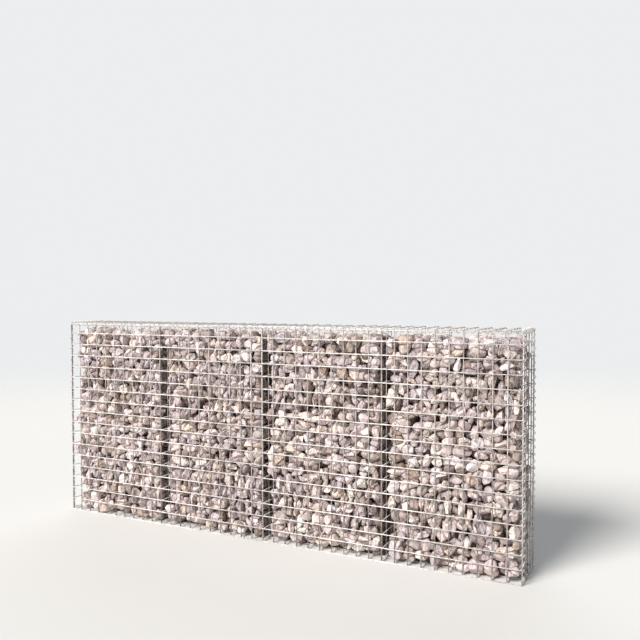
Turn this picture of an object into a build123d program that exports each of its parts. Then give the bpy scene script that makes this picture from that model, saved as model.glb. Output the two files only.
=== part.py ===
from build123d import *
import os
from math import cos, hypot, pi, radians, sin

# A free-standing gabion wall: a long, narrow basket of welded wire mesh, parted into bays
# by mesh diaphragms, laced together with wire spirals and filled with stone.
# Millimetres. +X runs along the wall, the seen face is at -Y, +Z is up, and the origin lies
# on the ground at the middle of the footprint.

# Mesh
cell = 50.0              # opening of the mesh, wire centre to wire centre, both ways
wire = 4.0               # thickness of the panel wire
cells_per_bay = 10
bays = 4
cells_deep = 4
full_rows = 16           # whole rows of openings in the height
top_row = 40.0           # height of the cut row under the lid

# Lacing spirals
lace_wire = 2.8          # thickness of the spiral wire
lace_clearance = 0.3     # between the spiral and the wires that it gathers
turns_per_cell = 2
lace_sides = 6           # straight runs in one turn
lid_lean = 50.0          # degrees above the horizontal of an end spiral at each lid wire
lace_end_gap = 4.0       # from the end of one spiral to the next one at a corner

# Stone fill
stone_gap_left = 30.0    # from the middle of the panel at a bay's left to its stones
stone_gap_right = 10.0   # from the stones, which lean that way, to the middle of the next panel
stone_clearance = 0.3    # between the stones and the front or back mesh
stone_headroom = 18.0    # from the highest stones to the lid

half_wire = wire / 2
length = cell * cells_per_bay * bays
depth = cell * cells_deep
columns = cells_per_bay * bays
first_column = -length / 2
half_depth = depth / 2
floor_top = 2 * wire                             # top of the cross wires of the base
wall_top = half_wire + cell * full_rows + top_row + half_wire
row_heights = [half_wire + cell * row for row in range(1, full_rows + 1)]
top_row_height = wall_top - half_wire
column_places = [first_column + cell * column for column in range(columns + 1)]
depth_places = [cell * place - half_depth for place in range(1, cells_deep)]
diaphragm_places = [first_column + cell * cells_per_bay * bay for bay in range(1, bays)]


def welded_mesh(plane, uprights, upright_span, levels, level_span):
    """A flat panel: uprights lie behind the plane and levels before it, welded where they cross.

    Uprights run along the plane's y direction and levels along its x direction.
    """
    upright_middle = sum(upright_span) / 2
    upright_length = upright_span[1] - upright_span[0]
    level_middle = sum(level_span) / 2
    level_length = level_span[1] - level_span[0]
    with BuildPart() as panel:
        with BuildSketch(plane):
            with Locations(*[(place, upright_middle) for place in uprights]):
                Rectangle(wire, upright_length)
        extrude(amount=-wire)
        with BuildSketch(plane):
            with Locations(*[(level_middle, place) for place in levels]):
                Rectangle(level_length, wire)
        extrude(amount=wire)
    return panel.part


def upright_panel(plane, half_width):
    """A panel across the wall, standing on the base wires, with its edge wires at half_width."""
    uprights = [-half_width + half_wire, *depth_places, half_width - half_wire]
    levels = [floor_top + half_wire, *row_heights, top_row_height]
    return welded_mesh(plane, uprights, (floor_top, wall_top), levels, (-half_width, half_width))


def face_panel(columns_used, left, right):
    """One half of the front mesh, from the ground to the lid."""
    plane = Plane(origin=(0, -half_depth - half_wire, 0), x_dir=(1, 0, 0), z_dir=(0, -1, 0))
    levels = [half_wire, *row_heights, top_row_height]
    return welded_mesh(plane, columns_used, (0, wall_top), levels, (left, right))


def flat_panel(height, long_wires, half_width):
    """The base or the lid: wires along the wall, with cross wires welded on top of them."""
    plane = Plane(origin=(0, 0, height), x_dir=(1, 0, 0), z_dir=(0, 0, -1))
    half_length = length / 2 + half_wire
    return welded_mesh(
        plane, column_places, (-half_width, half_width), long_wires, (-half_length, half_length)
    )


def lace_radius(half_width, half_height):
    """Radius of a spiral's corners, so that its straight runs clear the wires that it gathers."""
    bundle = hypot(half_width, half_height)
    return (bundle + lace_clearance + lace_wire / 2) / cos(pi / lace_sides)


def spiral(plane, radius, start, end, row_angle):
    """A lacing spiral along the plane's z axis, which stands at row_angle at every mesh wire.

    start and end are measured from a mesh wire, and the turns keep in step with the cells.
    """
    pitch = cell / turns_per_cell
    step = pitch / lace_sides
    first = round(start / step + 0.5)
    last = round(end / step - 0.5)
    corners = []
    for count in range(first, last + 1):
        angle = radians(row_angle) + 2 * pi * count / lace_sides
        corners.append(plane.from_local_coords((radius * cos(angle), radius * sin(angle), step * count)))
    path = Polyline(*corners)
    section = Plane(origin=path @ 0, z_dir=path % 0) * Rectangle(lace_wire, lace_wire)
    return sweep(section, path=path, transition=Transition.RIGHT)


def turned_round(shape):
    """The same piece at the opposite corner or face of the wall."""
    return Rot(0, 0, 180) * shape


def corner_spiral(side):
    """Laces a corner of the front mesh to an end panel: side is 1 at the right, -1 at the left."""
    radius = lace_radius(half_wire, wire)
    axis = Plane(origin=(side * length / 2, -half_depth + half_wire, half_wire), z_dir=(0, 0, 1))
    row_angle = 90 - side * 90
    bottom = floor_top + lace_end_gap - half_wire
    top = wall_top - lace_radius(wire, wire) - lace_wire - lace_end_gap - half_wire
    return spiral(axis, radius, bottom, top, row_angle)


def face_top_spiral():
    """Laces the top wire of the front mesh to the lid."""
    radius = lace_radius(wire, wire)
    axis = Plane(
        origin=(0, -half_depth - half_wire, wall_top), x_dir=(0, 1, 0), z_dir=(1, 0, 0)
    )
    reach = length / 2 - radius - lace_end_gap
    return spiral(axis, radius, -reach, reach, 180)


def end_top_spiral():
    """Laces the top wire of the right end panel to the last cross wire of the lid."""
    radius = lace_radius(wire, wire + half_wire)
    axis = Plane(
        origin=(length / 2 - half_wire, 0, wall_top + half_wire), x_dir=(1, 0, 0), z_dir=(0, -1, 0)
    )
    reach = half_depth - radius - lace_end_gap
    return spiral(axis, radius, -reach, reach, lid_lean)


def stone_fill(bay):
    """The stones of one bay, as the block that they fill."""
    bay_length = cell * cells_per_bay
    width = bay_length - stone_gap_left - stone_gap_right
    thickness = depth - wire - 2 * stone_clearance
    height = wall_top - stone_headroom - floor_top
    left = first_column + bay_length * bay + stone_gap_left
    return Pos(left, 0, floor_top) * Box(
        width, thickness, height, align=(Align.MIN, Align.CENTER, Align.MIN)
    )


def make_nodes():
    nodes = {}
    half_length = length / 2 + half_wire
    middle_edge = half_wire
    left_columns = [place for place in column_places if place <= middle_edge]
    right_columns = [place for place in column_places if place > middle_edge]
    nodes["front_mesh_left"] = face_panel(left_columns, -half_length, middle_edge)
    nodes["front_mesh_right"] = face_panel(right_columns, middle_edge, half_length)
    nodes["back_mesh_right"] = turned_round(nodes["front_mesh_left"])
    nodes["back_mesh_left"] = turned_round(nodes["front_mesh_right"])

    end_plane = Plane(origin=(length / 2 - half_wire, 0, 0), x_dir=(0, -1, 0), z_dir=(-1, 0, 0))
    nodes["end_mesh_right"] = upright_panel(end_plane, half_depth - half_wire)
    nodes["end_mesh_left"] = turned_round(nodes["end_mesh_right"])

    for number, place in enumerate(diaphragm_places, start=1):
        plane = Plane(origin=(place + half_wire, 0, 0), x_dir=(0, 1, 0), z_dir=(1, 0, 0))
        nodes[f"diaphragm_mesh_{number}"] = upright_panel(plane, half_depth - half_wire)

    nodes["base_mesh"] = flat_panel(wire, depth_places, half_depth - half_wire)
    lid_wires = [-half_depth, *depth_places, half_depth]
    nodes["lid_mesh"] = flat_panel(wall_top + wire, lid_wires, half_depth + half_wire)

    nodes["corner_spiral_front_right"] = corner_spiral(1)
    nodes["corner_spiral_front_left"] = corner_spiral(-1)
    nodes["corner_spiral_back_left"] = turned_round(nodes["corner_spiral_front_right"])
    nodes["corner_spiral_back_right"] = turned_round(nodes["corner_spiral_front_left"])
    nodes["lid_spiral_front"] = face_top_spiral()
    nodes["lid_spiral_back"] = turned_round(nodes["lid_spiral_front"])
    nodes["lid_spiral_right"] = end_top_spiral()
    nodes["lid_spiral_left"] = turned_round(nodes["lid_spiral_right"])

    for bay in range(bays):
        nodes[f"stone_fill_bay_{bay + 1}"] = stone_fill(bay)
    return nodes


os.makedirs("parts", exist_ok=True)
for name, shape in make_nodes().items():
    shape.label = name
    export_step(shape, f"parts/{name}.step")
    print(name, len(shape.solids()), "solid,", len(shape.faces()), "faces")
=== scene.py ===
# %% [markdown]
# # A gabion wall, dressed around its CAD frame
#
# A gabion is a basket of welded wire mesh filled with loose stone. This notebook loads the
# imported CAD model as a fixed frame, and then builds what the eye sees: round galvanised wires,
# the spirals that lace the panels together, and a few thousand stones, no two of them alike.
# Each step says what the real thing is, how it could be made here, and why this way was taken.

import random
from math import cos, hypot, pi, radians, sin, sqrt, tau
from typing import NamedTuple

import bmesh
import bpy
from mathutils import Matrix, Quaternion, Vector
from mathutils.kdtree import KDTree


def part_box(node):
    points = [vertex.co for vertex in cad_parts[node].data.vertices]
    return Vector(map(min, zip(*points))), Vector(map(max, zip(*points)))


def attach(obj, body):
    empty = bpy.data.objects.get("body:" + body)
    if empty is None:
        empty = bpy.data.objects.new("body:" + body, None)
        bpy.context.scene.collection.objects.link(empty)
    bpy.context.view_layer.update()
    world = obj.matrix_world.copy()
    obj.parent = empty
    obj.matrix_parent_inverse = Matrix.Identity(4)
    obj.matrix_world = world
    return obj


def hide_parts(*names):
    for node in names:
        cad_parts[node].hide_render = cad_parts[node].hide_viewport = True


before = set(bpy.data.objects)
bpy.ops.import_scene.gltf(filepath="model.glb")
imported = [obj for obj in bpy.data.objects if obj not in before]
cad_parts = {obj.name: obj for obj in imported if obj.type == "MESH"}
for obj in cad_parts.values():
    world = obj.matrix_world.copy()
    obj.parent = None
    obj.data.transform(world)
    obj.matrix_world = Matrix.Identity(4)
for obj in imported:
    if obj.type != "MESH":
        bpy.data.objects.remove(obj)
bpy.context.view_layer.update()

# %% [markdown]
# ## Sizes
#
# The frame already holds every place, so the sizes below are either the trade sizes of the real
# basket, such as its 50 mm openings, or are read from the boxes of the CAD nodes. All are metres.
# +X runs along the wall, the seen face is at -Y and +Z is up.

# %% Sizes of the basket
CELL = 0.050
WIRE = 0.004
HALF_WIRE = WIRE / 2
LACE_WIRE = 0.0028
CELLS_PER_BAY = 10
TURNS_PER_CELL = 2

_, front_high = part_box("front_mesh_left")
_, right_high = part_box("front_mesh_right")
end_low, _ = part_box("end_mesh_right")
WALL_TOP = front_high.z
HALF_LENGTH = right_high.x - HALF_WIRE
HALF_DEPTH = -front_high.y + HALF_WIRE
BASE_TOP = end_low.z
COLUMNS = round(2 * HALF_LENGTH / CELL)
FULL_ROWS = int((WALL_TOP - WIRE) / CELL)
BAYS = COLUMNS // CELLS_PER_BAY
COLUMN_PLACES = [CELL * column - HALF_LENGTH for column in range(COLUMNS + 1)]
ROW_HEIGHTS = [HALF_WIRE + CELL * row for row in range(1, FULL_ROWS + 1)]
TOP_ROW = WALL_TOP - HALF_WIRE
DEPTH_PLACES = [CELL * place - HALF_DEPTH for place in range(1, round(2 * HALF_DEPTH / CELL))]
print("bays", BAYS, "columns", COLUMNS, "rows", FULL_ROWS)
print("top", round(WALL_TOP, 3), "half depth", round(HALF_DEPTH, 3))

# %% [markdown]
# ## Camera
#
# The view was solved from the mesh itself: its rows and columns are a ruler in the picture, and
# the lines of the wall give the two vanishing points. The camera stands about a metre up, to the
# right of the middle of the wall, and looks a little down and to the left.

# %% Camera
EYE = Vector((1.4432, -2.5046, 0.9612))
HEADING = radians(26.319)
TILT_DOWN = radians(1.833)
ROLL = radians(0.136)
FOCAL_PIXELS = 716.95
PICTURE_PIXELS = 640
SENSOR = 36.0

camera_data = bpy.data.cameras.new("view_camera")
camera_data.sensor_width = SENSOR
camera_data.lens = FOCAL_PIXELS / PICTURE_PIXELS * SENSOR
camera = bpy.data.objects.new("view_camera", camera_data)
camera.matrix_world = (
    Matrix.Translation(EYE)
    @ Matrix.Rotation(HEADING, 4, "Z")
    @ Matrix.Rotation(pi / 2 - TILT_DOWN, 4, "X")
    @ Matrix.Rotation(-ROLL, 4, "Z")
)
bpy.context.scene.collection.objects.link(camera)
bpy.context.scene.camera = camera
bpy.context.scene.view_settings.view_transform = "Standard"
print("lens", round(camera_data.lens, 2), "mm")


# %% [markdown]
# ## Small helpers for materials and pieces
#
# A node material is a little graph, so a few short helpers keep the recipes readable: they add a
# node and set its values, fill a colour ramp, and read a noise at a place. The last one turns a
# finished bmesh into an object that sits at the origin and rides on the wall's only body.

# %% Helpers
def new_material(name):
    material = bpy.data.materials.new(name)
    material.use_nodes = True
    tree = material.node_tree
    return material, tree, tree.nodes["Principled BSDF"]


def add_node(tree, kind, **values):
    """A new node, with its properties or input sockets set by name."""
    node = tree.nodes.new(kind)
    for key, value in values.items():
        if hasattr(node, key):
            setattr(node, key, value)
        else:
            node.inputs[key.replace("_", " ")].default_value = value
    return node


def colour_ramp(tree, stops, interpolation="LINEAR"):
    node = tree.nodes.new("ShaderNodeValToRGB")
    ramp = node.color_ramp
    ramp.interpolation = interpolation
    while len(ramp.elements) < len(stops):
        ramp.elements.new(0.5)
    for element, (place, colour) in zip(ramp.elements, stops):
        element.position = place
        element.color = (*colour, 1.0)
    return node


def noise_at(tree, vector, **values):
    """The value of a noise at the place that the output socket vector gives."""
    node = add_node(tree, "ShaderNodeTexNoise", **values)
    tree.links.new(vector, node.inputs["Vector"])
    return node.outputs["Fac"]


def finished_piece(name, bm, material, slot, *nodes):
    """Closes a bmesh into an object that stands for the named CAD nodes."""
    mesh = bpy.data.meshes.new(name)
    bm.to_mesh(mesh)
    bm.free()
    mesh.materials.append(material)
    mesh.polygons.foreach_set("use_smooth", [True] * len(mesh.polygons))
    piece = bpy.data.objects.new(name, mesh)
    bpy.context.scene.collection.objects.link(piece)
    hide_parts(*nodes)
    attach(piece, "root")
    triangles = sum(len(polygon.vertices) - 2 for polygon in mesh.polygons)
    print(name, triangles, "triangles")
    return piece


# %% [markdown]
# ## Zinc on the wire
#
# Hot-dip galvanised wire is dull silver: a metal with a fairly rough surface, mottled where the
# zinc froze in patches. A noise on Object coordinates shifts its grey and its roughness, and a
# finer one lifts the surface a fraction of a millimetre, so that the highlight breaks up.
#
# The uprights lie inside, where the stones rub their dust onto them. Their heavy film is partly
# that dust and partly painted shade, which dims them so that they hardly stand out from the fill,
# while the level wires outside stay pale. Every face carries a number for its dust and painted
# shade, which lays a smudged film in the colours of the stones over the zinc.

# %% Zinc
ZINC_PATCHES = 90.0
ZINC_GRAIN = 900.0
ZINC_GRAIN_HEIGHT = 0.0002
ZINC_GRAIN_STRENGTH = 0.25
ZINC_METALLIC = 0.12
SMOOTHER = 0.08
ROUGHER = 0.12
DARK_UP_TO = 0.40
LIGHT_FROM = 0.60
FILM_SMUDGES = 38.0
# colours of the film: dust, and on the uprights also painted shade
STONE_DUST_AND_SHADE = [(0.38, (0.195, 0.168, 0.155)), (0.62, (0.535, 0.470, 0.445))]
# film on the uprights: dust, and painted shade that dims them
UPRIGHT_DUST_AND_SHADE = 0.88
LEVEL_DUST = 0.04
FLAT_DUST = 0.20


def zinc_material(name, light, dark, roughness):
    material, tree, surface = new_material(name)
    link = tree.links.new
    place = add_node(tree, "ShaderNodeTexCoord").outputs["Object"]
    patches = noise_at(tree, place, Scale=ZINC_PATCHES, Detail=3.0, Roughness=0.6)
    smudges = noise_at(tree, place, Scale=FILM_SMUDGES, Detail=3.0, Roughness=0.6)
    grain = noise_at(tree, place, Scale=ZINC_GRAIN, Detail=2.0)
    # how thick the film is: dust, and on the uprights also painted shade
    dust_and_shade = add_node(tree, "ShaderNodeAttribute", attribute_name="dust_and_shade")
    shade = colour_ramp(tree, [(DARK_UP_TO, dark), (LIGHT_FROM, light)])
    film_colour = colour_ramp(tree, STONE_DUST_AND_SHADE)
    film = add_node(tree, "ShaderNodeMix", data_type="RGBA")
    dullness = add_node(
        tree, "ShaderNodeMapRange", To_Min=roughness - SMOOTHER, To_Max=roughness + ROUGHER
    )
    bump = add_node(
        tree, "ShaderNodeBump", Strength=ZINC_GRAIN_STRENGTH, Distance=ZINC_GRAIN_HEIGHT
    )
    link(patches, shade.inputs["Fac"])
    link(patches, dullness.inputs["Value"])
    link(smudges, film_colour.inputs["Fac"])
    link(grain, bump.inputs["Height"])
    link(dust_and_shade.outputs["Fac"], film.inputs["Factor"])
    link(shade.outputs["Color"], film.inputs["A"])
    link(film_colour.outputs["Color"], film.inputs["B"])
    link(film.outputs["Result"], surface.inputs["Base Color"])
    link(dullness.outputs["Result"], surface.inputs["Roughness"])
    link(bump.outputs["Normal"], surface.inputs["Normal"])
    surface.inputs["Metallic"].default_value = ZINC_METALLIC
    print(name, "light", light, "dark", dark)
    return material


mesh_zinc = zinc_material("mesh_zinc", (0.96, 0.93, 0.91), (0.60, 0.575, 0.56), 0.50)
lace_zinc = zinc_material("lace_zinc", (0.86, 0.85, 0.84), (0.64, 0.64, 0.64), 0.45)


# %% [markdown]
# ## Welded mesh
#
# Each panel is two layers of straight wire, pressed together and welded at every crossing. The CAD
# holds them as square bars of the right thickness, so here they only become round. A cylinder per
# wire is light, and it may run straight through its welds: the two layers are set a little less
# than a wire apart, as the weld leaves them.

# %% Wires
WIRE_SIDES = 10
WELD_SINK = 0.0005


def add_wire(bm, start, end):
    """A straight round wire with closed ends, from start to end."""
    run = end - start
    turn = run.to_track_quat("Z", "Y").to_matrix().to_4x4()
    bmesh.ops.create_cone(
        bm,
        cap_ends=True,
        segments=WIRE_SIDES,
        radius1=HALF_WIRE,
        radius2=HALF_WIRE,
        depth=run.length,
        matrix=Matrix.Translation((start + end) / 2) @ turn,
    )


def add_panel(bm, place, uprights, upright_span, levels, level_span, upright_dust_and_shade=UPRIGHT_DUST_AND_SHADE):
    """Two welded layers. place(u, v, n) turns panel coordinates into the wall's own."""
    dust_and_shade = bm.faces.layers.float.new("dust_and_shade")
    out = HALF_WIRE - WELD_SINK / 2
    for u in uprights:
        add_wire(bm, place(u, upright_span[0], -out), place(u, upright_span[1], -out))
    upright_faces = len(bm.faces)
    for v in levels:
        add_wire(bm, place(level_span[0], v, out), place(level_span[1], v, out))
    for index, face in enumerate(bm.faces):
        face[dust_and_shade] = upright_dust_and_shade if index < upright_faces else LEVEL_DUST


# %% Front and back mesh
FACE_LEVELS = [HALF_WIRE, *ROW_HEIGHTS, TOP_ROW]
MIDDLE_EDGE = HALF_WIRE
OUTER_EDGE = HALF_LENGTH + HALF_WIRE


def face_mesh(name, side, columns, left, right):
    """side is -1 for the front and 1 for the back; the level wires lie outside the uprights."""
    bm = bmesh.new()

    def place(u, v, n):
        return Vector((-side * u, side * (HALF_DEPTH + HALF_WIRE + n), v))

    add_panel(bm, place, columns, (0, WALL_TOP), FACE_LEVELS, (left, right))
    return finished_piece(f"{name}_wires", bm, mesh_zinc, "mesh_wire", name)


long_half = [x for x in COLUMN_PLACES if x <= MIDDLE_EDGE]
short_half = [x for x in COLUMN_PLACES if x > MIDDLE_EDGE]
face_mesh("front_mesh_left", -1, long_half, -OUTER_EDGE, MIDDLE_EDGE)
face_mesh("front_mesh_right", -1, short_half, MIDDLE_EDGE, OUTER_EDGE)
face_mesh("back_mesh_right", 1, long_half, -OUTER_EDGE, MIDDLE_EDGE)
face_mesh("back_mesh_left", 1, short_half, MIDDLE_EDGE, OUTER_EDGE)

# %% End meshes and diaphragms
CROSS_LEVELS = [BASE_TOP + HALF_WIRE, *ROW_HEIGHTS, TOP_ROW]
CROSS_HALF = HALF_DEPTH - HALF_WIRE
CROSS_SPAN = (-CROSS_HALF, CROSS_HALF)
CROSS_UPRIGHTS = [HALF_WIRE - CROSS_HALF, *DEPTH_PLACES, CROSS_HALF - HALF_WIRE]


def cross_mesh(name, weld_x, level_side):
    """A panel across the wall; its level wires lie on the level_side of the welds."""
    bm = bmesh.new()

    def place(u, v, n):
        return Vector((weld_x + level_side * n, u, v))

    add_panel(bm, place, CROSS_UPRIGHTS, (BASE_TOP, WALL_TOP), CROSS_LEVELS, CROSS_SPAN)
    return finished_piece(f"{name}_wires", bm, mesh_zinc, "mesh_wire", name)


cross_mesh("end_mesh_right", HALF_LENGTH - HALF_WIRE, -1)
cross_mesh("end_mesh_left", HALF_WIRE - HALF_LENGTH, 1)
for bay in range(1, BAYS):
    cross_mesh(f"diaphragm_mesh_{bay}", COLUMN_PLACES[bay * CELLS_PER_BAY] + HALF_WIRE, 1)


# %% Base and lid
def flat_mesh(name, long_wires, half_width):
    """Wires along the wall, with cross wires welded on top of them and a thin dusty film on either.
    """
    low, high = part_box(name)
    bm = bmesh.new()

    def place(u, v, n):
        return Vector((u, v, (low.z + high.z) / 2 - n))

    across = (-half_width, half_width)
    along = (-OUTER_EDGE, OUTER_EDGE)
    add_panel(bm, place, COLUMN_PLACES, across, long_wires, along, FLAT_DUST)
    return finished_piece(f"{name}_wires", bm, mesh_zinc, "mesh_wire", name)


flat_mesh("base_mesh", DEPTH_PLACES, CROSS_HALF)
flat_mesh("lid_mesh", [-HALF_DEPTH, *DEPTH_PLACES, HALF_DEPTH], HALF_DEPTH + HALF_WIRE)

# %% [markdown]
# ## Lacing spirals
#
# The panels are laced with springs of thinner wire, screwed in along each edge so that every turn
# passes around both panels. A spring is a circle swept round an axis while it climbs, and that is
# what the spin operator does when each of its steps is also given a small shift along the axis.
# The turns keep in step with the mesh, two to a cell, so that they always miss its wires.

# %% Spirals
LACE_SIDES = 6
STEPS_PER_TURN = 12
PITCH = CELL / TURNS_PER_CELL
LACE_CLEARANCE = 0.0003


def lace_radius(half_width, half_height):
    """Middle of the spiral wire, just outside the bundle of wires that it gathers."""
    return hypot(half_width, half_height) + LACE_CLEARANCE + LACE_WIRE / 2


def spiral(name, axis, radius, start, end, row_angle):
    """A spiral along the z axis of the matrix axis, at row_angle wherever it passes a mesh wire."""
    step = PITCH / STEPS_PER_TURN
    first = round(start / step + 0.5)
    last = round(end / step - 0.5)
    slope = Matrix.Rotation(-PITCH / (tau * radius), 4, "X")
    bm = bmesh.new()
    ring = bmesh.ops.create_circle(
        bm,
        segments=LACE_SIDES,
        radius=LACE_WIRE / 2,
        matrix=Matrix.Translation((radius, 0, 0)) @ slope @ Matrix.Rotation(pi / 2, 4, "X"),
    )["verts"]
    begin = Matrix.Rotation(radians(row_angle) + tau * first / STEPS_PER_TURN, 4, "Z")
    bmesh.ops.transform(bm, verts=ring, matrix=Matrix.Translation((0, 0, step * first)) @ begin)
    bmesh.ops.spin(
        bm,
        geom=bm.edges[:],
        cent=(0, 0, 0),
        axis=(0, 0, 1),
        dvec=(0, 0, step),
        angle=tau * (last - first) / STEPS_PER_TURN,
        steps=last - first,
        use_merge=False,
    )
    bmesh.ops.holes_fill(bm, edges=bm.edges[:], sides=0)
    bmesh.ops.recalc_face_normals(bm, faces=bm.faces[:])
    bmesh.ops.transform(bm, verts=bm.verts[:], matrix=axis)
    return finished_piece(f"{name}_wire", bm, lace_zinc, "lacing_wire", name)


def axis_along(direction, x_direction, origin):
    """A matrix whose z axis lies along direction and whose x axis lies along x_direction."""
    z = Vector(direction)
    x = Vector(x_direction)
    return Matrix.Translation(origin) @ Matrix((x, z.cross(x), z)).transposed().to_4x4()


HALF_TURN = Matrix.Rotation(pi, 4, "Z")


# %% Corner spirals
for side, front_name, back_name in (
    (1, "corner_spiral_front_right", "corner_spiral_back_left"),
    (-1, "corner_spiral_front_left", "corner_spiral_back_right"),
):
    low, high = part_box(front_name)
    origin = (side * HALF_LENGTH, HALF_WIRE - HALF_DEPTH, HALF_WIRE)
    axis = axis_along((0, 0, 1), (1, 0, 0), origin)
    radius = lace_radius(HALF_WIRE, WIRE)
    span = (low.z + LACE_WIRE / 2 - HALF_WIRE, high.z - LACE_WIRE / 2 - HALF_WIRE)
    row_angle = 90 - side * 90
    spiral(front_name, axis, radius, *span, row_angle)
    spiral(back_name, HALF_TURN @ axis, radius, *span, row_angle)

# %% Lid spirals
FACE_ROW_ANGLE = 180
low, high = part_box("lid_spiral_front")
axis = axis_along((1, 0, 0), (0, 1, 0), (0, -HALF_DEPTH - HALF_WIRE, WALL_TOP))
span = (low.x + LACE_WIRE, high.x - LACE_WIRE)
spiral("lid_spiral_front", axis, lace_radius(WIRE, WIRE), *span, FACE_ROW_ANGLE)
spiral("lid_spiral_back", HALF_TURN @ axis, lace_radius(WIRE, WIRE), *span, FACE_ROW_ANGLE)

LID_LEAN = 50
low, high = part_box("lid_spiral_right")
axis = axis_along((0, -1, 0), (1, 0, 0), (HALF_LENGTH - HALF_WIRE, 0, WALL_TOP + HALF_WIRE))
span = (low.y + LACE_WIRE, high.y - LACE_WIRE)
spiral("lid_spiral_right", axis, lace_radius(WIRE, 1.5 * WIRE), *span, LID_LEAN)
spiral("lid_spiral_left", HALF_TURN @ axis, lace_radius(WIRE, 1.5 * WIRE), *span, LID_LEAN)

# %% [markdown]
# ## Stone finish
#
# The fill is broken limestone and river pebble: pale pinkish greys and creams, and here and there
# a tan, a brown or a bluish one. Every stone carries three numbers on its faces. The tone picks
# how pale it is. The grain picks its tint and shifts the noises, so that one material serves all
# the stones and yet clouding, specks and beds never run on from one stone into the next. The wear
# flattens the relief on a pebble.
#
# Limestone lies in beds, so one noise is squeezed into thin layers, which lean another way in
# every stone. Squared cell distances scoop the shells where a piece spalled off and the smaller
# nicks. All of this is bump, because it is finer than what the meshes should carry.

# %% Stone
STONE_COLOURS = [
    (0.00, (0.310, 0.235, 0.210)),
    (0.10, (0.470, 0.382, 0.359)),
    (0.22, (0.590, 0.507, 0.505)),
    (0.38, (0.685, 0.588, 0.586)),
    (0.60, (0.810, 0.703, 0.697)),
    (0.85, (0.925, 0.824, 0.808)),
    (1.00, (0.990, 0.920, 0.885)),
]
STONE_HUES = [
    (0.00, (0.945, 0.955, 1.000)),
    (0.15, (0.980, 0.970, 0.990)),
    (0.36, (1.000, 0.975, 0.970)),
    (0.64, (0.970, 0.985, 0.945)),
    (0.76, (1.000, 0.980, 0.930)),
    (0.88, (1.000, 0.965, 0.870)),
    (0.96, (0.970, 0.895, 0.780)),
]
STONE_SHIFT = (9.0, 5.0, 7.0)
STONE_ROUGHNESS = 0.8
BED_LEAN = radians(32)
BED_STRETCH = (1.0, 1.0, 0.24)
BEDS = {"Scale": 120.0, "Detail": 5.0, "Roughness": 0.7, "Distortion": 0.6}
CLOUDS = {"Scale": 45.0, "Detail": 5.0, "Roughness": 0.65}
SPECKS = {"Scale": 520.0, "Detail": 3.0, "Roughness": 0.65}
SPALL_SCALE = 44.0
NICK_SCALE = 140.0
# how noise turns into shade: two noise values, and the shades that they stand for
BED_SHADE = (0.36, 0.64, 0.72, 1.18)
CLOUD_SHADE = (0.30, 0.70, 0.74, 1.18)
SPECK_SHADE = (0.35, 0.65, 0.90, 1.08)
SPALL_HEIGHT = 0.0100
NICK_HEIGHT = 0.0026
BED_HEIGHT = 0.0030
SPECK_HEIGHT = 0.0005
PEBBLE_RELIEF = 0.40


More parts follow.
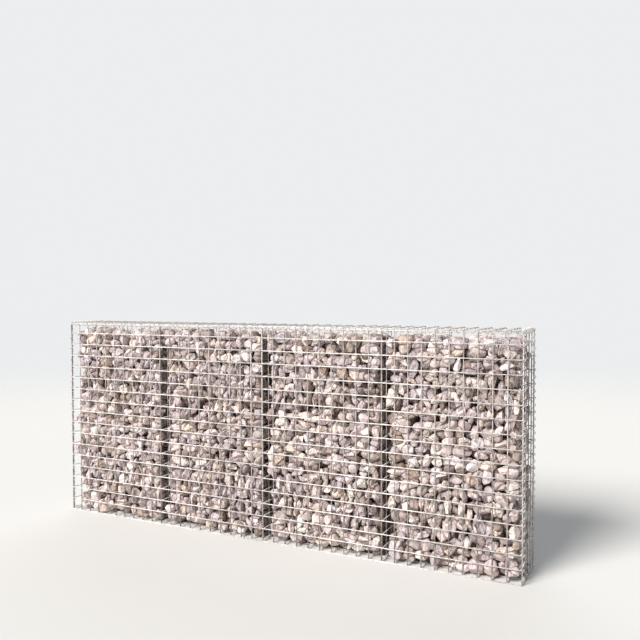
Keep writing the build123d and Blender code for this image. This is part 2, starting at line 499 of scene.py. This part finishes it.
def stone_material():
    material, tree, surface = new_material("stone")
    link = tree.links.new
    place = add_node(tree, "ShaderNodeTexCoord").outputs["Object"]
    tone = add_node(tree, "ShaderNodeAttribute", attribute_name="tone")
    grain = add_node(tree, "ShaderNodeAttribute", attribute_name="grain")
    wear = add_node(tree, "ShaderNodeAttribute", attribute_name="wear")

    def spread(value, low, high, to_low, to_high):
        node = add_node(
            tree, "ShaderNodeMapRange", From_Min=low, From_Max=high, To_Min=to_low, To_Max=to_high
        )
        link(value, node.inputs["Value"])
        return node.outputs["Result"]

    def product(first, second):
        node = add_node(tree, "ShaderNodeMath", operation="MULTIPLY")
        link(first, node.inputs[0])
        link(second, node.inputs[1])
        return node.outputs["Value"]

    def scoops(where, scale):
        node = add_node(tree, "ShaderNodeTexVoronoi", Scale=scale)
        link(where, node.inputs["Vector"])
        return product(node.outputs["Distance"], node.outputs["Distance"])

    def tinted(colour, by):
        node = add_node(tree, "ShaderNodeMix", data_type="RGBA", blend_type="MULTIPLY")
        node.inputs["Factor"].default_value = 1.0
        link(colour, node.inputs["A"])
        link(by, node.inputs["B"])
        return node.outputs["Result"]

    def bump(height, distance, below=None):
        node = add_node(tree, "ShaderNodeBump", Strength=1.0, Distance=distance)
        link(height, node.inputs["Height"])
        if below:
            link(below, node.inputs["Normal"])
        return node.outputs["Normal"]

    shifted = add_node(tree, "ShaderNodeVectorMath", operation="MULTIPLY_ADD")
    shifted.inputs[1].default_value = STONE_SHIFT
    link(grain.outputs["Vector"], shifted.inputs[0])
    link(place, shifted.inputs[2])
    own = shifted.outputs["Vector"]
    turned = add_node(tree, "ShaderNodeVectorRotate", rotation_type="Y_AXIS")
    link(own, turned.inputs["Vector"])
    link(spread(grain.outputs["Fac"], 0.0, 1.0, -BED_LEAN, BED_LEAN), turned.inputs["Angle"])
    leant = turned.outputs["Vector"]
    squeezed = add_node(tree, "ShaderNodeVectorMath", operation="MULTIPLY")
    squeezed.inputs[1].default_value = BED_STRETCH
    link(leant, squeezed.inputs[0])

    beds = noise_at(tree, squeezed.outputs["Vector"], **BEDS)
    clouds = noise_at(tree, own, **CLOUDS)
    specks = noise_at(tree, own, **SPECKS)
    shade = product(spread(clouds, *CLOUD_SHADE), spread(beds, *BED_SHADE))
    shade = product(shade, spread(specks, *SPECK_SHADE))
    body = colour_ramp(tree, STONE_COLOURS)
    hue = colour_ramp(tree, STONE_HUES, "CONSTANT")
    link(tone.outputs["Fac"], body.inputs["Fac"])
    link(grain.outputs["Fac"], hue.inputs["Fac"])
    rock = tinted(body.outputs["Color"], hue.outputs["Color"])
    link(tinted(rock, shade), surface.inputs["Base Color"])

    relief = spread(wear.outputs["Fac"], 0.0, 1.0, 1.0, PEBBLE_RELIEF)
    spalled = bump(product(scoops(leant, SPALL_SCALE), relief), SPALL_HEIGHT)
    nicked = bump(product(scoops(own, NICK_SCALE), relief), NICK_HEIGHT, spalled)
    layered = bump(beds, BED_HEIGHT, nicked)
    link(bump(specks, SPECK_HEIGHT, layered), surface.inputs["Normal"])
    surface.inputs["Roughness"].default_value = STONE_ROUGHNESS
    print("stone finish of", len(tree.nodes), "nodes")
    return material


stone_finish = stone_material()


# %% [markdown]
# ## The shape of a stone
#
# A stone starts as an ellipsoid in the mind: three radii and a turn. Flat cuts tangent to it give
# a broken stone its faces, and where two stones meet, both are cut by the same plane between them,
# so that they lie against each other. A box cut by bisect_plane again and again is the plainest
# way to make that convex body. A bevel then takes the edges off: a narrow one leaves a sharp
# shard, and a wide one, smoothed, leaves a pebble.
#
# Each stone is cut only towards its nearest neighbours, which keeps the notebook quick. Where many
# small ones crowd round a large one, some are missed, and those two run into each other. Nearly
# all such pairs lie inside the fill, where they don't show.
#
# The wall was filled load by load, in turn with rounder and with sharper stones, and the slender
# ones stand on end. So the mix of kinds, the size and the turn of a stone follow its height.

# %% Kinds of stone
class Kind(NamedTuple):
    """What sets one kind of stone apart."""

    shares: tuple  # of the stones in a round and in a sharp load
    radii: tuple  # of the ellipsoid, in stone sizes
    cuts: int  # flat faces all round
    closeness: tuple  # range of a cut's distance, as a share of the ellipsoid's reach
    bevel: float  # width of the worn edges, as a share of the smallest radius
    knocks: int = 0  # corners knocked off
    passes: int = 0  # of smoothing, which also tell the finish how worn it is
    tapers: bool = False


PEBBLE = Kind((0.52, 0.03), (0.44, 0.50, 0.64), 14, (0.84, 1.00), 0.20, passes=1)
BLOCK = Kind((0.38, 0.22), (0.41, 0.48, 0.70), 9, (0.68, 0.96), 0.08, knocks=3)
SHARD = Kind((0.10, 0.75), (0.29, 0.40, 1.20), 5, (0.70, 0.94), 0.06, knocks=2, tapers=True)
KINDS = (PEBBLE, BLOCK, SHARD)

ROUND_SIZE = 0.0490
SHARP_SIZE = 0.0430
SIZE_RANGE = (0.70, 1.36, 0.95)  # smallest, largest and most common, in those sizes
RADIUS_RANGE = (0.92, 1.08)
SHARP_HEIGHT = 0.60
LOAD_HEIGHT = 0.40
CALM_SHARE = 0.75  # of the stones that lie along the load's own direction
CALM_LEAN = 0.45
CUT_LEAN = 0.25
TAPER_CUTS = 4
TAPER_LEAN = 0.34
TAPER_TWIST = 0.25
TAPER_CLOSENESS = (0.50, 0.72)


def sharpness(height):
    """How sharp the load poured in at a height is, from 0 to 1."""
    return 0.5 + 0.5 * cos(tau * (height - SHARP_HEIGHT) / LOAD_HEIGHT)


def random_direction(rng):
    return Vector([rng.gauss(0, 1) for _ in range(3)]).normalized()


def random_turn(rng, along=None):
    """A random turn, or one that leaves the long z axis within some 25 degrees of along."""
    if along is None:
        return Quaternion([rng.gauss(0, 1) for _ in range(4)]).normalized()
    lean = (along + CALM_LEAN * random_direction(rng)).normalized()
    spin = Quaternion((0, 0, 1), rng.uniform(0, tau))
    flip = Quaternion((1, 0, 0), rng.choice((0, pi)))
    return Vector((0, 0, 1)).rotation_difference(lean) @ spin @ flip


def spread_directions(rng, count):
    """Directions spread evenly over a sphere, along a spiral, each nudged a little."""
    turn = random_turn(rng)
    golden = pi * (3 - sqrt(5))
    for index in range(count):
        height = 1 - 2 * (index + 0.5) / count
        around = sqrt(1 - height * height)
        direction = Vector((around * cos(golden * index), around * sin(golden * index), height))
        yield (turn @ direction + CUT_LEAN * random_direction(rng)).normalized()


class Stone:
    """Where a stone lies, its three radii, how it is turned, and its own flat cuts."""

    def __init__(self, rng, centre, scale=1.0, tapered=True):
        sharp = sharpness(centre.z)
        shares = [kind.shares[0] * (1 - sharp) + kind.shares[1] * sharp for kind in KINDS]
        self.kind = rng.choices(KINDS, shares)[0]
        usual_size = ROUND_SIZE * (1 - sharp) + SHARP_SIZE * sharp
        size = scale * usual_size * rng.triangular(*SIZE_RANGE)
        self.radii = [size * radius * rng.uniform(*RADIUS_RANGE) for radius in self.kind.radii]
        along = Vector((0, 0, 1)) if rng.random() < sharp else Vector((1, 0, 0))
        self.turn = random_turn(rng, along if rng.random() < CALM_SHARE else None)
        self.turn_back = self.turn.inverted()
        self.centre = centre
        self.tone = rng.random()
        self.grain = rng.random()
        self.cuts = []
        for direction in spread_directions(rng, self.kind.cuts):
            self.add_cut(rng, direction, self.kind.closeness)
        if self.kind.tapers and tapered:
            around = rng.uniform(0, tau)
            for number in range(TAPER_CUTS):
                angle = around + tau * number / TAPER_CUTS + rng.gauss(0, TAPER_TWIST)
                direction = Vector((cos(angle), sin(angle), TAPER_LEAN)).normalized()
                self.add_cut(rng, self.turn @ direction, TAPER_CLOSENESS)

        # form @ p points squarely out of the ellipsoid at the point p
        form = Matrix.Diagonal([radius**-2 for radius in self.radii])
        self.form = self.turn.to_matrix() @ form @ self.turn_back.to_matrix()

    def add_cut(self, rng, direction, closeness):
        self.cuts.append((direction, self.reach(direction) * rng.uniform(*closeness)))

    def reach(self, direction):
        """How far the ellipsoid goes in a direction: the distance of its tangent plane."""
        local = self.turn_back @ direction
        return sqrt(sum((radius * part) ** 2 for radius, part in zip(self.radii, local)))

    def surface(self, direction):
        """How far the ellipsoid's surface is from its middle in a direction."""
        local = self.turn_back @ direction
        return 1 / sqrt(sum((part / radius) ** 2 for radius, part in zip(self.radii, local)))


# %% Cutting a stone
TOUCH_GAP = 0.0004
CUT_TOLERANCE = 1e-6
SMALLEST_EDGE = 0.0016
KNOCK_BITE = (0.10, 0.26)
KNOCK_LEAN = 0.5


def side_direction(axis, side):
    direction = Vector((0, 0, 0))
    direction[axis] = side
    return direction


def cut(bm, point, normal):
    """Takes off all that lies beyond a plane and closes the cut."""
    result = bmesh.ops.bisect_plane(
        bm,
        geom=bm.verts[:] + bm.edges[:] + bm.faces[:],
        dist=CUT_TOLERANCE,
        plane_co=point,
        plane_no=normal,
        clear_outer=True,
    )
    rim = [part for part in result["geom_cut"] if isinstance(part, bmesh.types.BMEdge)]
    if len(rim) > 2:
        bmesh.ops.contextual_create(bm, geom=rim)


def cut_towards(bm, stone, other):
    """Parts a stone from another by a plane between their surfaces."""
    between = other.centre - stone.centre
    mine = stone.surface(between.normalized())
    share = mine / (mine + other.surface(between.normalized()))
    direction = ((stone.form + other.form) @ between).normalized()
    point = stone.centre + between * share - direction * TOUCH_GAP / 2
    if any((vert.co - point).dot(direction) > 0 for vert in bm.verts):
        cut(bm, point, direction)


def cut_to_box(bm, stone, high):
    """Keeps a stone within the box from its own lower corner to the bay's upper one."""
    for axis in range(3):
        for side, limit in ((-1, stone.low[axis]), (1, high[axis])):
            if any(side * (vert.co[axis] - limit) > 0 for vert in bm.verts):
                point = stone.centre.copy()
                point[axis] = limit
                cut(bm, point, side_direction(axis, side))


def knock_off_corners(rng, bm, stone):
    for _ in range(stone.kind.knocks):
        corner = rng.choice(bm.verts[:]).co - stone.centre
        direction = (corner.normalized() + KNOCK_LEAN * random_direction(rng)).normalized()
        cut(bm, stone.centre + corner * (1 - rng.uniform(*KNOCK_BITE)), direction)


def wear_edges(bm, stone):
    """Bevels all edges, but for those too short for it, and smooths a pebble."""
    bmesh.ops.remove_doubles(bm, verts=bm.verts[:], dist=SMALLEST_EDGE)
    bmesh.ops.bevel(
        bm,
        geom=bm.edges[:],
        offset=stone.kind.bevel * min(stone.radii),
        offset_type="OFFSET",
        segments=1,
        profile=0.5,
        affect="EDGES",
        clamp_overlap=True,
        material=-1,
    )
    for _ in range(stone.kind.passes):
        bmesh.ops.smooth_vert(
            bm, verts=bm.verts[:], factor=0.5, use_axis_x=True, use_axis_y=True, use_axis_z=True
        )


def stone_body(rng, stone, neighbours, high, seen):
    """The body of one stone, as a bmesh of its own."""
    bm = bmesh.new()
    size = Matrix.Diagonal([2 * radius for radius in stone.radii]).to_4x4()
    place = Matrix.Translation(stone.centre) @ stone.turn.to_matrix().to_4x4() @ size
    bmesh.ops.create_cube(bm, size=1, matrix=place)
    for direction, distance in stone.cuts:
        cut(bm, stone.centre + direction * distance, direction)
    for other in neighbours:
        cut_towards(bm, stone, other)
    cut_to_box(bm, stone, high)
    if seen:
        knock_off_corners(rng, bm, stone)
    bmesh.ops.dissolve_degenerate(bm, edges=bm.edges[:], dist=TOUCH_GAP / 4)
    if seen:
        wear_edges(bm, stone)
    bmesh.ops.recalc_face_normals(bm, faces=bm.faces[:])
    return bm


# %% [markdown]
# ## Filling a bay
#
# The stones of a bay start on a staggered grid and are pushed about at random, which packs them
# about as closely as poured stones lie. Those next to the mesh are moved out until they all but
# touch it, because that is what holds them. Some at the left stray towards the panel there, and
# high up in all bays but the first, stones have spilled that way.
#
# Only the outer ones are ever seen well, so the ones behind them are larger and keep their plain
# cut shape, and they are painted much darker, as painted shade in the gaps between the outer
# stones. Small chips just inside the four sides fill the gaps between the outer stones, so that
# hardly any light falls through the wall, and they too are painted darker, as painted shade.

# %% Places of the stones
ROUND_STEPS = Vector((0.0490, 0.0390, 0.0410))
SHARP_STEPS = Vector((0.0260, 0.0390, 0.0580))
LAYERS = 5
NUDGE = Vector((0.28, 0.22, 0.30))
STAGGER = 0.25
SPILL = 0.021
SPILL_HEIGHT = 0.72
CHIP_SHARE = 0.85
CHIP_DEPTH = (0.010, 0.022)
CHIP_NUDGE = (-0.2, 0.2)
END_CHIP_DEPTH = (0.022, 0.040)
END_CHIP_RISES = (0.0, 0.5)
LOWEST_CHIP = 0.010


def courses(low, high):
    """The courses of a fill from the ground up: number, bottom, top and how many stones long."""
    number = 0
    bottom = low.z
    while bottom < high.z:
        steps = ROUND_STEPS.lerp(SHARP_STEPS, sharpness(bottom))
        top = bottom + steps.z
        if high.z - top < steps.z / 2:
            top = high.z
        yield number, bottom, top, round((high.x - low.x) / steps.x)
        number += 1
        bottom = top


def stone_places(rng, low, high, spill):
    """Staggered places through a box: each centre, the sides it lies next to and its left limit."""
    thickness = (high.y - low.y) / LAYERS
    for number, bottom, top, columns in courses(low, high):
        left = low.x - spill if bottom > SPILL_HEIGHT else low.x
        length = (high.x - left) / columns
        steps = Vector((length, thickness, top - bottom))
        for layer in range(LAYERS):
            stagger = STAGGER if (number + layer) % 2 else -STAGGER
            for column in range(columns):
                middle = Vector((column + 0.5 + stagger, layer + 0.5, 0.5)) * steps
                nudge = Vector(rng.uniform(-1, 1) * NUDGE[axis] * steps[axis] for axis in range(3))
                sides = (
                    (column == columns - 1) - (column == 0),
                    (layer == LAYERS - 1) - (layer == 0),
                    (top == high.z) - (bottom == low.z),
                )
                yield Vector((left, low.y, bottom)) + middle + nudge, sides, left


def chip_places(rng, low, high):
    """Places just inside the four sides of a fill, where small chips close the gaps."""
    thickness = (high.y - low.y) / LAYERS
    for number, bottom, top, columns in courses(low, high):
        length = (high.x - low.x) / columns
        stagger = STAGGER if number % 2 else -STAGGER
        for side, end in ((1, low.x), (-1, high.x)):
            for rise in END_CHIP_RISES:
                for layer in range(1, LAYERS):
                    x = end + side * rng.uniform(*END_CHIP_DEPTH)
                    y = low.y + thickness * (layer + rng.uniform(*CHIP_NUDGE))
                    z = bottom + (top - bottom) * (rise + rng.uniform(*CHIP_NUDGE))
                    yield Vector((x, y, max(z, low.z + LOWEST_CHIP)))
        for side, face in ((1, low.y), (-1, high.y)):
            for column in range(columns):
                if number and rng.random() < CHIP_SHARE:
                    x = low.x + length * (column + 0.5 + stagger + rng.uniform(*CHIP_NUDGE))
                    z = bottom + (top - bottom) * rng.uniform(*CHIP_NUDGE)
                    yield Vector((x, face + side * rng.uniform(*CHIP_DEPTH), z))


# %% Pouring the stones
SEAT = 0.90
SLACK = Vector((0.006, 0.005, 0.016))
STRAY_SHARE = 0.35
STRAY_RANGE = (0.4, 1.0)
OUTER_TONE = 0.06
INNER_SCALE = 1.40
# painted shade: how much darker the stones behind the outer ones are painted
INNER_PAINTED_SHADE = 0.12
CHIP_SCALE = 0.62
# painted shade: how much darker the chips in the gaps are painted
CHIP_PAINTED_SHADE = 0.60


def lean_out(rng, stone, sides, high):
    """Moves an outer stone until it all but touches the sides that it lies next to."""
    for axis, side in enumerate(sides):
        if side:
            limit = high[axis] if side > 0 else stone.low[axis]
            reach = SEAT * stone.reach(side_direction(axis, side))
            stone.centre[axis] = limit - side * (reach + rng.uniform(0, SLACK[axis]))


def poured_stones(rng, low, high, open_ends, spill):
    """All stones of a bay, each with whether it is seen well enough to need worn edges."""
    for centre, sides, left in stone_places(rng, low, high, spill):
        seen = sides[1] != 0 or sides[2] > 0 or sides[0] in open_ends
        if seen:
            stone = Stone(rng, centre)
            stone.tone = OUTER_TONE + (1 - OUTER_TONE) * stone.tone
        else:
            stone = Stone(rng, centre, INNER_SCALE, tapered=False)
            # painted shade: the stones behind the outer ones are darkened as if shaded
            stone.tone *= INNER_PAINTED_SHADE
        if sides[0] < 0 and rng.random() < STRAY_SHARE:
            left = max(left - SPILL * rng.uniform(*STRAY_RANGE), low.x - SPILL)
        stone.low = Vector((left, low.y, low.z))
        lean_out(rng, stone, sides, high)
        yield stone, seen
    for centre in chip_places(rng, low, high):
        stone = Stone(rng, centre, CHIP_SCALE)
        # painted shade: the chips in the gaps are darkened as if shaded
        stone.tone *= CHIP_PAINTED_SHADE
        stone.low = low
        yield stone, False


# %% Filling the bays
NEIGHBOURS = 24
FACE_CRISPNESS = 60
SEED = 40


def fill_bay(name, seed, open_ends, spill):
    """Cuts all stones of a bay against each other and joins them into one piece."""
    low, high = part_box(name)
    rng = random.Random(seed)
    stones = list(poured_stones(rng, low, high, open_ends, spill))
    tree = KDTree(len(stones))
    for index, (stone, _) in enumerate(stones):
        tree.insert(stone.centre, index)
    tree.balance()
    bay = bmesh.new()
    tone_layer = bay.faces.layers.float.new("tone")
    grain_layer = bay.faces.layers.float.new("grain")
    wear_layer = bay.faces.layers.float.new("wear")
    scrap = bpy.data.meshes.new("scrap")
    open_stones = 0
    for index, (stone, seen) in enumerate(stones):
        near = tree.find_n(stone.centre, NEIGHBOURS)
        neighbours = [stones[other][0] for _, other, _ in near if other != index]
        bm = stone_body(rng, stone, neighbours, high, seen)
        open_stones += any(len(edge.link_faces) != 2 for edge in bm.edges)
        bm.to_mesh(scrap)
        bm.free()
        start = len(bay.faces)
        bay.from_mesh(scrap)
        bay.faces.ensure_lookup_table()
        for face in bay.faces[start:]:
            face[tone_layer] = stone.tone
            face[grain_layer] = stone.grain
            face[wear_layer] = stone.kind.passes
    bpy.data.meshes.remove(scrap)
    outside = sum(seen for _, seen in stones)
    print(name, len(stones), "stones,", outside, "of them outside,", open_stones, "open")
    piece = finished_piece(f"{name}_stones", bay, stone_finish, "stone", name)
    crisp = piece.modifiers.new("crisp_faces", "WEIGHTED_NORMAL")
    crisp.weight = FACE_CRISPNESS
    return piece


for bay in range(1, BAYS + 1):
    open_ends = [side for side, end_bay in ((-1, 1), (1, BAYS)) if bay == end_bay]
    fill_bay(f"stone_fill_bay_{bay}", SEED + bay, open_ends, SPILL if bay > 1 else 0.0)

# %% [markdown]
# ## Studio
#
# A pale floor that fades out far away, and a pale surround that the camera and the reflections
# see. One broad soft lamp stands at the upper left in front, as the light falls on the real wall,
# with an even fill from all round. A weak and still broader lamp behind lets the back be seen.

# %% Floor
FLOOR_RADIUS = 9.0
FLOOR_SIDES = 96
FLOOR_COLOUR = (0.74, 0.74, 0.73, 1.0)
FLOOR_ROUGHNESS = 0.9
FADE_START = 2.5
FADE_END = 8.0

bm = bmesh.new()
bmesh.ops.create_circle(bm, cap_ends=True, segments=FLOOR_SIDES, radius=FLOOR_RADIUS)
floor_mesh = bpy.data.meshes.new("floor")
bm.to_mesh(floor_mesh)
bm.free()
floor = bpy.data.objects.new("floor", floor_mesh)
bpy.context.scene.collection.objects.link(floor)
floor_finish, tree, surface = new_material("floor")
link = tree.links.new
surface.inputs["Base Color"].default_value = FLOOR_COLOUR
surface.inputs["Roughness"].default_value = FLOOR_ROUGHNESS
place = add_node(tree, "ShaderNodeTexCoord")
distance = add_node(tree, "ShaderNodeVectorMath", operation="LENGTH")
fade = add_node(
    tree,
    "ShaderNodeMapRange",
    From_Min=FADE_START,
    From_Max=FADE_END,
    interpolation_type="SMOOTHSTEP",
)
clear = add_node(tree, "ShaderNodeBsdfTransparent")
mix = add_node(tree, "ShaderNodeMixShader")
link(place.outputs["Object"], distance.inputs[0])
link(distance.outputs["Value"], fade.inputs["Value"])
link(fade.outputs["Result"], mix.inputs["Fac"])
link(surface.outputs["BSDF"], mix.inputs[1])
link(clear.outputs["BSDF"], mix.inputs[2])
link(mix.outputs["Shader"], tree.nodes["Material Output"].inputs["Surface"])
floor_mesh.materials.append(floor_finish)
print("floor of", FLOOR_RADIUS, "m, clear from", FADE_END, "m")

# %% Surround
FILL_LIGHT = 0.18
FILL_COLOUR = (0.92, 0.96, 1.0, 1.0)
BACKGROUND = 0.86
BACKGROUND_COLOUR = (0.98, 0.99, 1.0, 1.0)

world = bpy.data.worlds.new("surround")
world.use_nodes = True
bpy.context.scene.world = world
tree = world.node_tree
link = tree.links.new
fill = tree.nodes["Background"]
fill.inputs["Color"].default_value = FILL_COLOUR
fill.inputs["Strength"].default_value = FILL_LIGHT
seen = add_node(tree, "ShaderNodeBackground", Color=BACKGROUND_COLOUR, Strength=BACKGROUND)
path = add_node(tree, "ShaderNodeLightPath")
camera_or_gloss = add_node(tree, "ShaderNodeMath", operation="MAXIMUM")
any_of_three = add_node(tree, "ShaderNodeMath", operation="MAXIMUM")
mix = add_node(tree, "ShaderNodeMixShader")
link(path.outputs["Is Camera Ray"], camera_or_gloss.inputs[0])
link(path.outputs["Is Glossy Ray"], camera_or_gloss.inputs[1])
link(camera_or_gloss.outputs["Value"], any_of_three.inputs[0])
link(path.outputs["Is Transmission Ray"], any_of_three.inputs[1])
link(any_of_three.outputs["Value"], mix.inputs["Fac"])
link(fill.outputs["Background"], mix.inputs[1])
link(seen.outputs["Background"], mix.inputs[2])
link(mix.outputs["Shader"], tree.nodes["World Output"].inputs["Surface"])
print("fill", FILL_LIGHT, "background", BACKGROUND)


# %% Lamps
def add_sun(name, strength, softness, direction, colour):
    """A lamp so far away that its light comes from one direction, softened by its width."""
    data = bpy.data.lights.new(name, "SUN")
    data.energy = strength
    data.angle = softness
    data.color = colour
    lamp = bpy.data.objects.new(name, data)
    lamp.rotation_euler = Vector(direction).to_track_quat("-Z", "Y").to_euler()
    bpy.context.scene.collection.objects.link(lamp)
    print(name, "strength", strength)


add_sun("broad_lamp", 4.6, radians(26), (0.375, 0.927, -0.766), (1.0, 0.965, 0.92))
add_sun("back_lamp", 1.1, radians(60), (0.35, -0.85, -0.50), (0.94, 0.97, 1.0))
